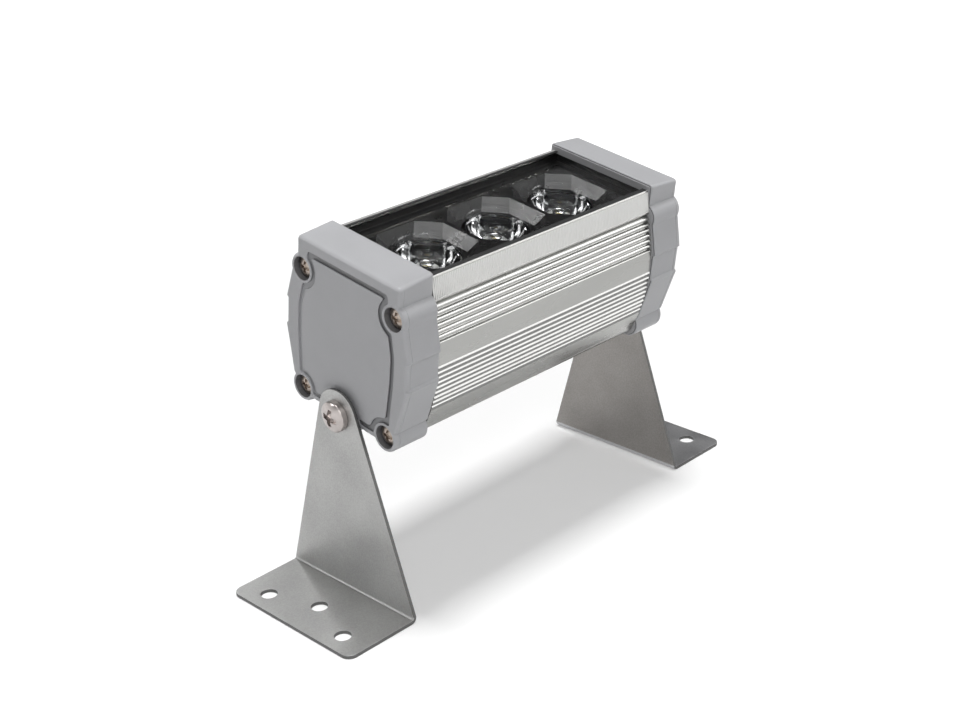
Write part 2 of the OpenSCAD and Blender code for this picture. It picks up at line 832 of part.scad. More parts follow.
module gland_nut() {
    nut_z = gland_flange + gap;
    hex_h = 0.55 * gland_nut_h;
    color([0.22, 0.22, 0.23])
    gland_place() difference() {
        union() {
            translate([0, 0, nut_z]) hexagon(gland_flats, hex_h);
            translate([0, 0, nut_z + hex_h])
                cylinder(d1 = gland_flats, d2 = cable_d + 4 * gland_lip, h = gland_nut_h - hex_h);
        }
        translate([0, 0, nut_z - over]) cylinder(r = gland_neck_r, h = gland_neck + over);
        translate([0, 0, nut_z - over]) cylinder(r = cable_d / 2 + gap, h = gland_nut_h + 2 * over);
    }
}

housing_profile();
left_end_cap();
right_end_cap();
left_cap_gasket();
right_cap_gasket();
left_cap_screws();
right_cap_screws();
front_glass();
glass_seal();
lens_bezel();
lens(1);  // lens_1
lens(2);  // lens_2
lens(3);  // lens_3
lens_holder(1);  // lens_holder_1
lens_holder(2);  // lens_holder_2
lens_holder(3);  // lens_holder_3
led(1);  // led_1
led(2);  // led_2
led(3);  // led_3
led_board();
thermal_pad();
board_screws();
driver_board();
driver_coil();
driver_capacitors();
driver_chip();
terminal_block();
led_leads();
left_bracket();
right_bracket();
left_pivot_screw();
right_pivot_screw();
left_pivot_washer();
right_pivot_washer();
gland_body();
gland_seal();
gland_nut();
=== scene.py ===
from math import copysign, cos, pi, radians, sin

import bmesh
import bpy
from mathutils import Matrix, Quaternion, Vector


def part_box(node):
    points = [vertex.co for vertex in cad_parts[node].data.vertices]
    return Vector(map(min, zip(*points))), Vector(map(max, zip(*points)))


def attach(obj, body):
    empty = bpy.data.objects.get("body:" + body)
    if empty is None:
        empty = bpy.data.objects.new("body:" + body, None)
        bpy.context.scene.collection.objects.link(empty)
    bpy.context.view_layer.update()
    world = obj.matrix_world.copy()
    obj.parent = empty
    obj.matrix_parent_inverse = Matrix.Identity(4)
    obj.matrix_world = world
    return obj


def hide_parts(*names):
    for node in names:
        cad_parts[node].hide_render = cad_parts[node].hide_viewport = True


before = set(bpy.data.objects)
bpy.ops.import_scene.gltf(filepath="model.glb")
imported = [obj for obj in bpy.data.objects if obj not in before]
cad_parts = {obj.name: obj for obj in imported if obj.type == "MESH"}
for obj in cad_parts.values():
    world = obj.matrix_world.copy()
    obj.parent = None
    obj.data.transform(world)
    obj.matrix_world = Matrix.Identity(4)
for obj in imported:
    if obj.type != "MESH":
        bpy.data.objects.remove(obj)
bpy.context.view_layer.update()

# Camera: looks down at the head's left end from the front, as the photograph does.
# Its place and turn were fitted to the corners of the caps and the feet.
camera_place = Vector((-0.4003, -0.4061, 0.3265))
camera_azimuth = radians(-44.32)
camera_elevation = radians(24.13)
camera_roll = radians(2.81)
camera_lens = 59.32
camera_sensor = 36
nearest_seen = 0.01
camera_data = bpy.data.cameras.new("camera")
camera_data.lens = camera_lens
camera_data.sensor_width = camera_sensor
camera_data.clip_start = nearest_seen
camera = bpy.data.objects.new("camera", camera_data)
bpy.context.scene.collection.objects.link(camera)
camera_back = Vector((
    sin(camera_azimuth) * cos(camera_elevation),
    -cos(camera_azimuth) * cos(camera_elevation),
    sin(camera_elevation)))
camera.location = camera_place
camera.rotation_mode = "QUATERNION"
camera.rotation_quaternion = (-camera_back).to_track_quat("-Z", "Y") @ Quaternion((0, 0, 1), -camera_roll)
bpy.context.scene.camera = camera
bpy.context.scene.view_settings.view_transform = "Standard"

# Studio floor: a wide white sweep under the feet that keeps the light's soft shadow. Seen by the camera or in
# a reflection it is lifted towards white, more the further out; it lights the metal as pale card would.
floor_half = 6.0
floor_colour = (0.8, 0.8, 0.8, 1)
lift_near, lift_far = 0.2, 0.9
lift_starts, lift_ends = 0.3, 0.8


def spread(nodes, low, high, at_low, at_high):
    """A node that takes a value from low..high to at_low..at_high, and holds it at either end."""
    node = nodes.new("ShaderNodeMapRange")
    for socket, value in zip(("From Min", "From Max", "To Min", "To Max"), (low, high, at_low, at_high)):
        node.inputs[socket].default_value = value
    return node


sweep = bmesh.new()
bmesh.ops.create_grid(sweep, x_segments=1, y_segments=1, size=floor_half)
floor_mesh = bpy.data.meshes.new("floor")
sweep.to_mesh(floor_mesh)
sweep.free()
floor = bpy.data.objects.new("floor", floor_mesh)
bpy.context.scene.collection.objects.link(floor)
floor_material = bpy.data.materials.new("white_sweep")
floor_material.use_nodes = True
nodes, links = floor_material.node_tree.nodes, floor_material.node_tree.links
nodes.clear()
output = nodes.new("ShaderNodeOutputMaterial")
card = nodes.new("ShaderNodeBsdfDiffuse")
card.inputs["Color"].default_value = floor_colour
glow = nodes.new("ShaderNodeEmission")
spot = nodes.new("ShaderNodeTexCoord")
distance = nodes.new("ShaderNodeVectorMath")
distance.operation = "LENGTH"
lift = spread(nodes, lift_starts, lift_ends, lift_near, lift_far)
links.new(spot.outputs["Object"], distance.inputs[0])
links.new(distance.outputs["Value"], lift.inputs["Value"])
links.new(lift.outputs[0], glow.inputs["Strength"])
lifted = nodes.new("ShaderNodeAddShader")
seen = nodes.new("ShaderNodeLightPath")
camera_or_gloss = nodes.new("ShaderNodeMath")
camera_or_gloss.operation = "MAXIMUM"
or_through = nodes.new("ShaderNodeMath")
or_through.operation = "MAXIMUM"
choice = nodes.new("ShaderNodeMixShader")
links.new(seen.outputs["Is Camera Ray"], camera_or_gloss.inputs[0])
links.new(seen.outputs["Is Glossy Ray"], camera_or_gloss.inputs[1])
links.new(camera_or_gloss.outputs[0], or_through.inputs[0])
links.new(seen.outputs["Is Transmission Ray"], or_through.inputs[1])
links.new(card.outputs[0], lifted.inputs[0])
links.new(glow.outputs[0], lifted.inputs[1])
links.new(or_through.outputs[0], choice.inputs["Fac"])
links.new(card.outputs[0], choice.inputs[1])
links.new(lifted.outputs[0], choice.inputs[2])
links.new(choice.outputs[0], output.inputs["Surface"])
floor_mesh.materials.append(floor_material)

# Studio light: one box straight overhead that throws the soft shadow, a fill near the camera and three
# boxes seen in reflections only, which pick out the ribs, the cells and the near foot. A lamp's light is what
# it gives at the object: 1 renders a colour as it is written.
lamp_aim = Vector((0, 0, 0.08))
lamps = [
    ("overhead_box", (0.0, 0.03, 1.4), 0.3, 0.3, 0.78, True),
    ("fill_box", (-0.6, -0.88, 1.12), 0.6, 0.6, 0.31, True),
    ("back_box", (-1.04, 0.78, 0.84), 0.27, 0.27, 0.23, False),
    ("foot_box", (0.42, 1.25, 0.82), 0.4, 0.4, 0.16, False),
    ("rib_strip", (1.02, -0.57, 1.03), 0.55, 1.2, 0.36, False),
]
for name, place, width, tall, light, lights_paint in lamps:
    lamp_data = bpy.data.lights.new(name, "AREA")
    lamp_data.shape = "RECTANGLE"
    lamp_data.size = width
    lamp_data.size_y = tall
    throw = Vector(place) - lamp_aim
    lamp_data.energy = light * pi ** 2 * throw.length_squared
    lamp = bpy.data.objects.new(name, lamp_data)
    lamp.location = place
    lamp.rotation_mode = "QUATERNION"
    back = throw.normalized()
    across = (Vector((1, 0, 0)) - back * back.x).normalized()
    lamp.rotation_quaternion = Matrix((across, back.cross(across), back)).transposed().to_quaternion()
    lamp.visible_diffuse = lights_paint
    bpy.context.scene.collection.objects.link(lamp)

# Studio room: dim, bright low down, where the sweep rises, and dark overhead. The bright part stands higher in
# front and lower at the back (+Y), so that the glass stays black. The camera sees plain white behind it all.
room_light = 0.37
room_white = 1.6
white_below = 0.3
dark_above = 0.5
room_dark = 0.03
back_drop = 0.18
front_rise = 0.25
side_reach = 0.3
world = bpy.data.worlds.new("studio")
world.use_nodes = True
bpy.context.scene.world = world
nodes, links = world.node_tree.nodes, world.node_tree.links
nodes.clear()
output = nodes.new("ShaderNodeOutputWorld")
direction = nodes.new("ShaderNodeTexCoord")
height = nodes.new("ShaderNodeSeparateXYZ")
rise = spread(nodes, white_below, dark_above, room_white, room_dark)
room = nodes.new("ShaderNodeBackground")
room.inputs["Strength"].default_value = room_light
mirrored = nodes.new("ShaderNodeBackground")
white = nodes.new("ShaderNodeBackground")
seen = nodes.new("ShaderNodeLightPath")
gloss_or_through = nodes.new("ShaderNodeMath")
gloss_or_through.operation = "MAXIMUM"
by_gloss = nodes.new("ShaderNodeMixShader")
by_camera = nodes.new("ShaderNodeMixShader")
links.new(direction.outputs["Generated"], height.inputs[0])
lower_behind = spread(nodes, -side_reach, side_reach, -front_rise, back_drop)
raised = nodes.new("ShaderNodeMath")
links.new(height.outputs["Y"], lower_behind.inputs["Value"])
links.new(height.outputs["Z"], raised.inputs[0])
links.new(lower_behind.outputs[0], raised.inputs[1])
links.new(raised.outputs[0], rise.inputs["Value"])
links.new(rise.outputs[0], mirrored.inputs["Strength"])
links.new(seen.outputs["Is Glossy Ray"], gloss_or_through.inputs[0])
links.new(seen.outputs["Is Transmission Ray"], gloss_or_through.inputs[1])
links.new(gloss_or_through.outputs[0], by_gloss.inputs["Fac"])
links.new(room.outputs[0], by_gloss.inputs[1])
links.new(mirrored.outputs[0], by_gloss.inputs[2])
links.new(seen.outputs["Is Camera Ray"], by_camera.inputs["Fac"])
links.new(by_gloss.outputs[0], by_camera.inputs[1])
links.new(white.outputs[0], by_camera.inputs[2])
links.new(by_camera.outputs[0], output.inputs["Surface"])

# Housing profile: one length of extruded aluminium, anodised, with two groups of ribs a side whose lands
# lean up a little, and blasted lips. The fine lower ribs carry painted highlights on their crests and painted
# shade in their valleys; the back lip is painted darker than the front, as shade.
# It is worked on upright about the pivot axis and leant over by the head's tilt at the end.
head_tilt = radians(9)
pivot_low, pivot_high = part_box("left_pivot_washer")
pivot_height = (pivot_low.z + pivot_high.z) / 2
lean = Matrix.Translation((0, 0, pivot_height)) @ Matrix.Rotation(head_tilt, 4, "X")
flat_angle = radians(0.6)
sharp_angle = radians(28)
merge_distance = 0.000004
same_plane = 0.00001
rib_round = 0.00026


def bare(node, placing=None, whole_faces=True):
    """A copy of a CAD node, its triangles joined into flat faces, stood upright if placing is given."""
    shape = bmesh.new()
    shape.from_mesh(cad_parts[node].data)
    bmesh.ops.remove_doubles(shape, verts=shape.verts, dist=merge_distance)
    if placing is not None:
        bmesh.ops.transform(shape, matrix=placing.inverted(), verts=shape.verts)
    if whole_faces:
        bmesh.ops.dissolve_limit(shape, angle_limit=flat_angle, verts=shape.verts, edges=shape.edges)
    return shape


def rounded(shape, width, wanted=lambda edge: True, segments=2):
    """Bevels the sharp edges for which wanted(edge) holds."""
    chosen = [
        e for e in shape.edges
        if len(e.link_faces) == 2 and e.calc_face_angle() > sharp_angle and wanted(e)]
    bmesh.ops.bevel(
        shape, geom=chosen, offset=width, offset_type="OFFSET", affect="EDGES", segments=segments,
        profile=0.5, material=-1, clamp_overlap=False, loop_slide=True)


def piece(name, shape, body, materials, nodes, placing=None):
    """Makes the object, puts it in its place, shades it, and lets it ride its body in place of its CAD nodes.

    The CAD mesh's own shading normals are dropped: they would blur the new edges.
    """
    if placing is not None:
        bmesh.ops.transform(shape, matrix=placing, verts=shape.verts)
    mesh = bpy.data.meshes.new(name)
    shape.to_mesh(mesh)
    shape.free()
    for material in materials:
        mesh.materials.append(material)
    if mesh.has_custom_normals:
        mesh.attributes.remove(mesh.attributes["custom_normal"])
    mesh.shade_smooth()
    mesh.set_sharp_from_angle(angle=sharp_angle)
    thing = bpy.data.objects.new(name, mesh)
    bpy.context.scene.collection.objects.link(thing)
    even = thing.modifiers.new("even_shading", "WEIGHTED_NORMAL")
    even.keep_sharp = True
    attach(thing, body)
    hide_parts(*nodes)


def finish(name, colour, roughness, metallic=0.0, grain=0.0004, depth=0.00001, mottle=0.05, stretch=(1, 1, 1)):
    """A finish whose colour and roughness vary a little from place to place, over a fine raised grain.

    The grain is its size, the depth its height, and the mottle how far the colour goes up and down.
    """
    patch_grains = 30
    patch_detail, grain_detail = 4, 3
    noise_low, noise_high = 0.3, 0.7
    smoothest, roughest = 0.9, 1.12
    material = bpy.data.materials.new(name)
    material.use_nodes = True
    nodes, links = material.node_tree.nodes, material.node_tree.links
    shader = nodes["Principled BSDF"]
    shader.inputs["Metallic"].default_value = metallic
    place = nodes.new("ShaderNodeTexCoord")
    mapping = nodes.new("ShaderNodeMapping")
    mapping.inputs["Scale"].default_value = stretch
    patches = nodes.new("ShaderNodeTexNoise")
    patches.inputs["Scale"].default_value = 1 / (patch_grains * grain)
    patches.inputs["Detail"].default_value = patch_detail
    grains = nodes.new("ShaderNodeTexNoise")
    grains.inputs["Scale"].default_value = 1 / grain
    grains.inputs["Detail"].default_value = grain_detail
    both = nodes.new("ShaderNodeMix")
    both.data_type = "FLOAT"
    both.inputs["Factor"].default_value = 0.5
    tone = spread(nodes, noise_low, noise_high, 1 - mottle, 1 + mottle)
    shade = nodes.new("ShaderNodeVectorMath")
    shade.operation = "SCALE"
    shade.inputs[0].default_value = colour
    rough = spread(nodes, noise_low, noise_high, roughness * smoothest, roughness * roughest)
    bump = nodes.new("ShaderNodeBump")
    bump.inputs["Distance"].default_value = depth
    links.new(place.outputs["Object"], mapping.inputs["Vector"])
    links.new(mapping.outputs[0], patches.inputs["Vector"])
    links.new(mapping.outputs[0], grains.inputs["Vector"])
    links.new(patches.outputs["Fac"], both.inputs["A"])
    links.new(grains.outputs["Fac"], both.inputs["B"])
    links.new(both.outputs["Result"], tone.inputs["Value"])
    links.new(tone.outputs[0], shade.inputs["Scale"])
    links.new(shade.outputs[0], shader.inputs["Base Color"])
    links.new(patches.outputs["Fac"], rough.inputs["Value"])
    links.new(rough.outputs[0], shader.inputs["Roughness"])
    links.new(grains.outputs["Fac"], bump.inputs["Height"])
    links.new(bump.outputs[0], shader.inputs["Normal"])
    return material


def dress(node, material):
    """Gives a CAD node that is shown as it is its finish."""
    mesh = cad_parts[node].data
    mesh.materials.clear()
    mesh.materials.append(material)


anodised = finish(
    "anodised_aluminium", (0.38, 0.38, 0.368), 0.27, metallic=1.0, grain=0.0002, depth=0.000003,
    stretch=(0.15, 1, 1))
knurled = finish("knurled_band", (0.55, 0.55, 0.54), 0.4, metallic=1.0, grain=0.0003, depth=0.000003)
blasted = finish("blasted_lip", (0.75, 0.75, 0.74), 0.75, metallic=1.0, grain=0.0003, depth=0.000003)
# A darker copy of the blasted lip finish for the back lip: painted shade.
back_lip_painted_shade = finish("blasted_back_lip", (0.4, 0.4, 0.395), 0.75, metallic=1.0, grain=0.0003, depth=0.000003)
# Painted light for the fine lower ribs: a dark copy of the metal for painted shade in the valleys and flanks, a
# bright copy for painted highlights on the crests.
rib_valley_painted_shade = finish("rib_valley_painted_shade", (0.22, 0.22, 0.215), 0.4, metallic=1.0, grain=0.0003, depth=0.000003)
rib_crest_painted_highlight = finish("rib_crest_painted_highlight", (0.75, 0.75, 0.735), 0.27, metallic=1.0, grain=0.0003, depth=0.000003)
housing_finishes = [anodised, blasted, knurled, rib_valley_painted_shade, rib_crest_painted_highlight, back_lip_painted_shade]
land_widest = 0.0009
land_tilt = 0.0004
fine_ribs_from = 0.13
fine_ribs_to = 0.45
outer_share = 0.8
housing = bare("housing_profile", lean)
widest_y = max(v.co.y for v in housing.verts)
profile_end = max(v.co.x for v in housing.verts)
lip_z = max(v.co.z for v in housing.verts)
lip_y = max(v.co.y for v in housing.verts if v.co.z > lip_z - same_plane)


def narrow_outside(face):
    """Whether the face is a rib's land, flank or valley on the housing's outside."""
    outside = abs(face.calc_center_median().y) > widest_y * outer_share
    return outside and len(face.verts) == 4 and face.calc_area() < land_widest * 2 * profile_end


lands = []
for face in housing.faces:
    middle = face.calc_center_median()
    below = [
        other for edge in face.edges for other in edge.link_faces
        if len(other.verts) == 4 and other.calc_center_median().z < middle.z]
    upright = abs(face.normal.y) > cos(flat_angle) and face.normal.y * middle.y > 0
    if narrow_outside(face) and upright and below and below[0].normal.z < -sin(sharp_angle):
        lands.append(face)
for face in lands:
    for v in sorted(face.verts, key=lambda v: v.co.z)[2:]:
        v.co.y -= copysign(land_tilt, v.co.y)
# The fine lower ribs get painted light: the bright copy on the lands as painted highlight, the dark copy on the
# flanks and valleys as painted shade.
for face in housing.faces:
    if narrow_outside(face) and fine_ribs_from * lip_z < face.calc_center_median().z < fine_ribs_to * lip_z:
        face.material_index = housing_finishes.index(rib_crest_painted_highlight if face in lands else rib_valley_painted_shade)
housing.normal_update()
rounded(housing, rib_round, lambda e: abs(e.verts[0].co.x - e.verts[1].co.x) > profile_end, segments=3)
# The lips' flat tops are blasted aluminium; the back lip gets the darker copy, painted shade.
for face in housing.faces:
    middle = face.calc_center_median()
    if face.normal.z > cos(sharp_angle) and middle.z > lip_z - same_plane:
        face.material_index = housing_finishes.index(blasted if middle.y < 0 else back_lip_painted_shade)

# The flat band under each lip is knurled: shallow grooves across it, rolled in after extrusion, that end a
# little short of the band's edges.
knurl_pitch = 0.00085
knurl_edge = 0.0002
knurl_depth = 0.00022
knurl_margin = 0.0005
pitch_slack = 1.5
band_height = 0.007
bands = [
    f for f in housing.faces
    if len(f.verts) == 4 and f.calc_area() > band_height * profile_end
    and f.calc_center_median().z > lip_z - band_height and abs(f.normal.y) > abs(f.normal.z)
    and f.normal.y * f.calc_center_median().y > 0]
for band in bands:
    bmesh.ops.inset_individual(housing, faces=[band], thickness=knurl_margin)
    long_edges = [e for e in band.edges if abs(e.verts[0].co.x - e.verts[1].co.x) > profile_end]
    length = long_edges[0].calc_length()
    middle, outward = band.calc_center_median(), band.normal.copy()
    bmesh.ops.subdivide_edges(
        housing, edges=long_edges, cuts=round(length / knurl_pitch) - 1, use_grid_fill=True)
    strips = [
        f for f in housing.faces
        if len(f.verts) == 4 and abs((f.calc_center_median() - middle).dot(outward)) < merge_distance
        and max(v.co.x for v in f.verts) - min(v.co.x for v in f.verts) < pitch_slack * knurl_pitch]
    walls = bmesh.ops.inset_individual(housing, faces=strips, thickness=knurl_edge, depth=-knurl_depth)["faces"]
    for face in strips + walls:
        face.material_index = housing_finishes.index(knurled)
piece("housing", housing, "head", housing_finishes, ["housing_profile"], lean)

# End caps: aluminium castings in satin grey powder coat, screwed to the profile's ends.
# The outer face has a softly rounded edge all round, a groove that frames a flat panel, and
# four deep counterbores for the cap screws.
face_round = 0.0013
rim_round = 0.0005
parting_in = 0.0023
parting_w = 0.00022
parting_depth = 0.00016
parting_profile = (-1, -0.5, 0.5, 1)
groove_step = 0.0004
groove_passes = 9
# Painted shade in the cap's recesses: the share of the coat's colour kept on the groove's walls and floor, and
# where across the cap, from the back towards the front, the darkening starts and where it is full.
groove_shade, floor_shade = 0.35, 0.62
shade_starts, shade_ends = 0.02, 0.006
corner_round = 0.0015
groove_round = 0.0003
bore_round = 0.00035
groove_depth = 0.001
bore_depth = 0.0052
slope_reach = 0.0035
short_edge = 0.00006
arc_steps = 4


def rim(shape, plane_x, floor_x):
    """The loops of points in the plane x = plane_x from which a wall runs to x = floor_x, longest first."""
    chosen = []
    for edge in shape.edges:
        flat = all(abs(v.co.x - plane_x) < same_plane for v in edge.verts)
        for face in edge.link_faces if flat else ():
            depths = [abs(v.co.x - floor_x) for v in face.verts]
            off_plane = [d for v, d in zip(face.verts, depths) if abs(v.co.x - plane_x) > same_plane]
            if off_plane and max(off_plane) < same_plane and edge not in chosen:
                chosen.append(edge)
    loops = []
    while chosen:
        edge = chosen.pop()
        first, last = edge.verts
        loop = [first.co.copy(), last.co.copy()]
        while last is not first:
            edge = next((e for e in last.link_edges if e in chosen), None)
            if edge is None:
                break
            chosen.remove(edge)
            last = edge.other_vert(last)
            loop.append(last.co.copy())
        if last is first:
            loops.append(loop[:-1])
    return sorted(loops, key=lambda points: -sum(
        (p - q).length for p, q in zip(points, points[1:] + points[:1])))


def corners_eased(loop, radius, wanted):
    """The loop without its shortest edges, and with its corners rounded where wanted(point) holds."""
    flat = bmesh.new()
    flat.faces.new([flat.verts.new(point) for point in loop])
    bmesh.ops.remove_doubles(flat, verts=flat.verts, dist=short_edge)
    corners = [
        v for v in flat.verts
        if wanted(v.co) and abs(v.calc_edge_angle(0)) > sharp_angle]
    if corners:
        bmesh.ops.bevel(
            flat, geom=corners, offset=radius, affect="VERTICES", segments=arc_steps, profile=0.5,
            material=-1)
    flat.faces.ensure_lookup_table()
    points = [v.co.copy() for v in flat.faces[0].verts]
    flat.free()
    return points


def softened(loop, step, passes):
    """The loop drawn again in steps of about the given length, its corners rounded by smoothing passes."""
    points = []
    for start, end in zip(loop, loop[1:] + loop[:1]):
        count = max(1, round((end - start).length / step))
        points += [start.lerp(end, i / count) for i in range(count)]
    for _ in range(passes):
        points = [
            (points[i - 1] + 2 * point + points[(i + 1) % len(points)]) / 4
            for i, point in enumerate(points)]
    return points


def shaft(loop, stations):
    """A closed solid along X with the loop as its section: stations are (x, how far the section is grown)."""
    solid = bmesh.new()
    ring = [solid.verts.new((stations[0][0], point.y, point.z)) for point in loop]
    edges = [solid.edges.new((v, ring[i - 1])) for i, v in enumerate(ring)]
    rings = [ring]
    for (x_from, _), (x_to, _) in zip(stations, stations[1:]):
        made = bmesh.ops.extrude_edge_only(solid, edges=edges)["geom"]
        ring = [g for g in made if isinstance(g, bmesh.types.BMVert)]
        edges = [
            g for g in made
            if isinstance(g, bmesh.types.BMEdge) and all(v in ring for v in g.verts)]
        bmesh.ops.translate(solid, verts=ring, vec=(x_to - x_from, 0, 0))
        rings.append(ring)
    bmesh.ops.recalc_face_normals(solid, faces=solid.faces)
    solid.normal_update()
    middle = sum(loop, Vector()) / len(loop)
    facing_out = 0
    for face in solid.faces:
        spoke = face.calc_center_median() - middle
        spoke.x = 0
        facing_out += face.normal.dot(spoke) * face.calc_area()
    outward = {v: v.normal * v.calc_shell_factor() * copysign(1, facing_out) for v in solid.verts}
    for ring, (_, growth) in zip(rings, stations):
        for v in ring:
            v.co += outward[v] * growth
    bmesh.ops.holes_fill(solid, edges=solid.edges, sides=0)
    bmesh.ops.recalc_face_normals(solid, faces=solid.faces)
    return solid


def rounding(face_x, inward, radius, convex):
    """Stations that round an edge at face_x: a solid's outer edge if convex, else the rim of a cut."""
    steps = [i / arc_steps for i in range(arc_steps + 1)]
    depths = [radius * (1 - cos(share * pi / 2)) for share in steps]
    insets = [radius * (1 - sin(share * pi / 2)) for share in steps]
    sign = -1 if convex else 1
    return [(face_x + inward * depth, sign * inset) for depth, inset in zip(depths, insets)]


def as_object(shape):
    """A plain object that holds the shape for a boolean cut, with an empty slot for each cap finish."""
    mesh = bpy.data.meshes.new("cutter")
    shape.to_mesh(mesh)
    shape.free()
    for _ in cap_finishes:
        mesh.materials.append(None)
    thing = bpy.data.objects.new("cutter", mesh)
    bpy.context.scene.collection.objects.link(thing)
    return thing


def carved(shape, tools):
    """The shape with each of the tools cut out of it."""
    block = as_object(shape)
    cutters = [as_object(tool) for tool in tools]
    for cutter in cutters:
        cut = block.modifiers.new("cut", "BOOLEAN")
        cut.operation = "DIFFERENCE"
        cut.solver = "EXACT"
        cut.object = cutter
    graph = bpy.context.evaluated_depsgraph_get()
    result = bmesh.new()
    result.from_mesh(block.evaluated_get(graph).to_mesh())
    for thing in (block, *cutters):
        mesh = thing.data
        bpy.data.objects.remove(thing)
        bpy.data.meshes.remove(mesh)
    return result


def powder_coat(name):
    """Satin grey powder coat."""
    return finish(name, coat_colour, 0.42, grain=0.00035, depth=0.000012, mottle=0.04)


def shaded(name, share):
    """The powder coat in the recesses with painted shade: it darkens by the share from the cap's back edge
    towards its front.
    """
    material = powder_coat(name)
    nodes, links = material.node_tree.nodes, material.node_tree.links
    shader = nodes["Principled BSDF"]
    plain = shader.inputs["Base Color"].links[0].from_socket
    place = nodes.new("ShaderNodeTexCoord")
    across = nodes.new("ShaderNodeSeparateXYZ")
    fall = spread(nodes, shade_starts, shade_ends, 1, share)
    darker = nodes.new("ShaderNodeVectorMath")
    darker.operation = "SCALE"
    links.new(place.outputs["Object"], across.inputs[0])
    links.new(across.outputs["Y"], fall.inputs["Value"])
    links.new(plain, darker.inputs[0])
    links.new(fall.outputs[0], darker.inputs["Scale"])
    links.new(darker.outputs[0], shader.inputs["Base Color"])
    return material


coat_colour = (0.375, 0.377, 0.39)
coat = powder_coat("grey_powder_coat")
# The groove's walls and floor get darker copies of the coat: painted shade, full towards the cap's front.
coat_wall_painted_shade, coat_floor_painted_shade = shaded("coat_recess_wall_painted_shade", groove_shade), shaded("coat_recess_floor_painted_shade", floor_shade)
# The counterbores and the cap's inner face, which lies in shadow, get the darkest copy of the coat: painted
# shade.
coat_painted_shade_deep = finish("coat_deep_painted_shade", tuple(groove_shade * part for part in coat_colour), 0.5, grain=0.00035)
cap_finishes = [coat, coat_wall_painted_shade, coat_floor_painted_shade, coat_painted_shade_deep]
ends = (("left", -1), ("right", 1))
for side, out in ends:
    cast = bare(side + "_end_cap", lean)
    face_x = out * max(abs(v.co.x) for v in cast.verts)
    inner_x = out * min(abs(v.co.x) for v in cast.verts)
    top_z = max(v.co.z for v in cast.verts if abs(v.co.x - face_x) < same_plane)
    top_fall = max(v.co.z for v in cast.verts) - top_z
    section = rim(cast, face_x, inner_x)[0]
    section = corners_eased(section, corner_round, lambda co: co.z > top_z - same_plane)
    parting = [(face_x - out * (parting_in + part * parting_w), 0) for part in parting_profile]
    block = shaft(
        section,
        rounding(face_x, -out, face_round, True) + parting + rounding(inner_x, out, rim_round, True)[::-1])
    for v in block.verts:
        if v.co.z > top_z - slope_reach:
            v.co.z += top_fall * (v.co.x - face_x) / (inner_x - face_x)
        elif abs(abs(face_x - v.co.x) - parting_in) < max(parting_profile) * parting_w - same_plane:
            v.co.y -= copysign(parting_depth, v.co.y)
    # The cap's inner face is painted the darkest copy of the coat, as shade.
    for face in block.faces:
        if abs(face.calc_center_median().x - inner_x) < same_plane:
            face.material_index = cap_finishes.index(coat_painted_shade_deep)
    tools = []
    for depth, radius in ((groove_depth, groove_round), (bore_depth, bore_round)):
        floor_x = face_x - out * depth
        for loop in rim(cast, face_x, floor_x):
            loop = corners_eased(loop, corner_round, lambda co: False)
            if depth == groove_depth:
                loop = softened(loop, groove_step, groove_passes)
            stations = [(face_x + out * depth, radius)] + rounding(face_x, -out, radius, False) + [(floor_x, 0)]
            tool = shaft(loop, stations)
            # Faces below the rounded rim get painted shade: the darker wall or floor copy in the groove, the
            # darkest copy in the bores.
            for face in tool.faces:
                if abs(face_x - face.calc_center_median().x) > radius:
                    recess = coat_floor_painted_shade if abs(face.normal.x) > cos(sharp_angle) else coat_wall_painted_shade
                    face.material_index = cap_finishes.index(coat_painted_shade_deep if depth == bore_depth else recess)
            tools.append(tool)
    cast.free()
    piece(
        side + "_cap", carved(block, tools), "head", cap_finishes, [side + "_end_cap"], lean)

# Gaskets and seals: grey silicone between the caps and the profile, black rubber in the gland and under the
# glass. Thin black rubber strips on the inner part of the profile's lips are painted shade: they stand for
# the shadow in the gap between the lips and the glass.
rubber = finish("black_rubber", (0.007, 0.007, 0.007), 0.6, grain=0.0005, depth=0.00001)
silicone = finish("grey_silicone", (0.3, 0.3, 0.31), 0.6, grain=0.0005, depth=0.00001)
for node in ("left_cap_gasket", "right_cap_gasket"):
    dress(node, silicone)
dress("gland_seal", rubber)
painted_shadow_strip_t = 0.00012
bare_front, bare_back = 0.0006, 0.0015
seal = bare("glass_seal", lean)
seal_y = max(v.co.y for v in seal.verts)
# Thin black strips on the lips: painted shade for the gap between lip and glass.
for side, bare_lip in ((-1, bare_front), (1, bare_back)):
    strip = bmesh.ops.create_cube(seal, size=1)["verts"]
    bmesh.ops.scale(seal, verts=strip, vec=(2 * profile_end, lip_y - bare_lip - seal_y, 2 * painted_shadow_strip_t))
    bmesh.ops.translate(seal, verts=strip, vec=(0, side * (lip_y - bare_lip + seal_y) / 2, lip_z))
piece("seal_rubber", seal, "head", [rubber], ["glass_seal"], lean)

# Cap and board screws: stainless pan heads with a cross recess, a little stained. The cap screws' heads stand
# higher than in the CAD, because the photograph shows them that near to the cap's face.
screw_round = 0.00012
screw_head_h = 0.0026
screw_rise = 0.0012
screw_steel = finish(
    "screw_steel", (0.36, 0.31, 0.27), 0.33, metallic=1.0, grain=0.0006, depth=0.000006, mottle=0.12)
for side, out in ends:
    screws = bare(side + "_cap_screws", lean)
    crown = max(out * v.co.x for v in screws.verts)
    for v in screws.verts:
        if out * v.co.x > crown - screw_head_h + screw_rise / 2:
            v.co.x += out * screw_rise
    rounded(screws, screw_round)
    piece(side + "_screws", screws, "head", [screw_steel], [side + "_cap_screws"], lean)
dress("board_screws", screw_steel)

